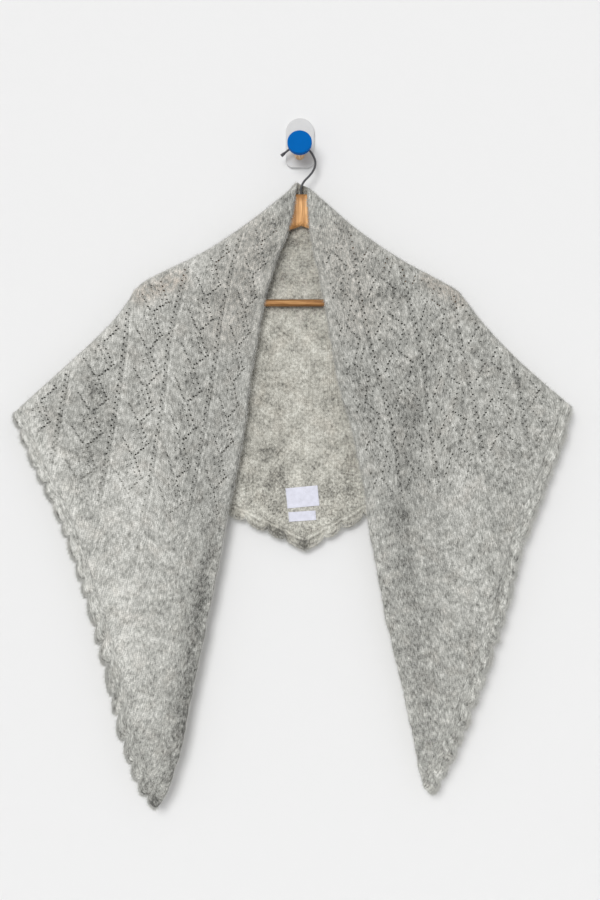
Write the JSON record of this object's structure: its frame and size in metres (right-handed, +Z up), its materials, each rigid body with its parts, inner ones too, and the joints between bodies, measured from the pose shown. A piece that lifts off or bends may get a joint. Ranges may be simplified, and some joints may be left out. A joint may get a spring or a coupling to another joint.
{
  "type": "lace shawl on a wooden hanger and wall hook",
  "caption": "Triangular knitted lace shawl with a scalloped edging, folded over a wooden hanger with a crossbar that hangs from a wall hook.",
  "frame": {"origin": "centre of the wall plate's back face, which lies on the wall", "axes": "+Y into the wall, +X to the right as seen from the front, +Z up"},
  "size_m": [0.7581, 0.0534, 0.9404],
  "materials": {
    "knit": "brushed heather-grey wool and mohair knit",
    "edging": "knitted scalloped edging of the same yarn",
    "label": "bare white woven label",
    "wood": "light varnished wood",
    "bar_wood": "darker varnished wood",
    "steel": "dark steel wire",
    "plate": "matt off-white",
    "knob": "satin blue"
  },
  "bodies": {
    "root": {"front_left": "knit", "front_right": "knit", "fold_left": "knit", "fold_right": "knit", "back": "knit", "edging_front_left": "edging", "edging_front_right": "edging", "edging_back_left": "edging", "edging_back_right": "edging", "label": "label", "care_label": "label", "hanger": "wood", "crossbar": "bar_wood", "hanger_hook": "steel", "wall_plate": "plate", "peg": "wood", "knob": "knob"}
  },
  "joints": []
}
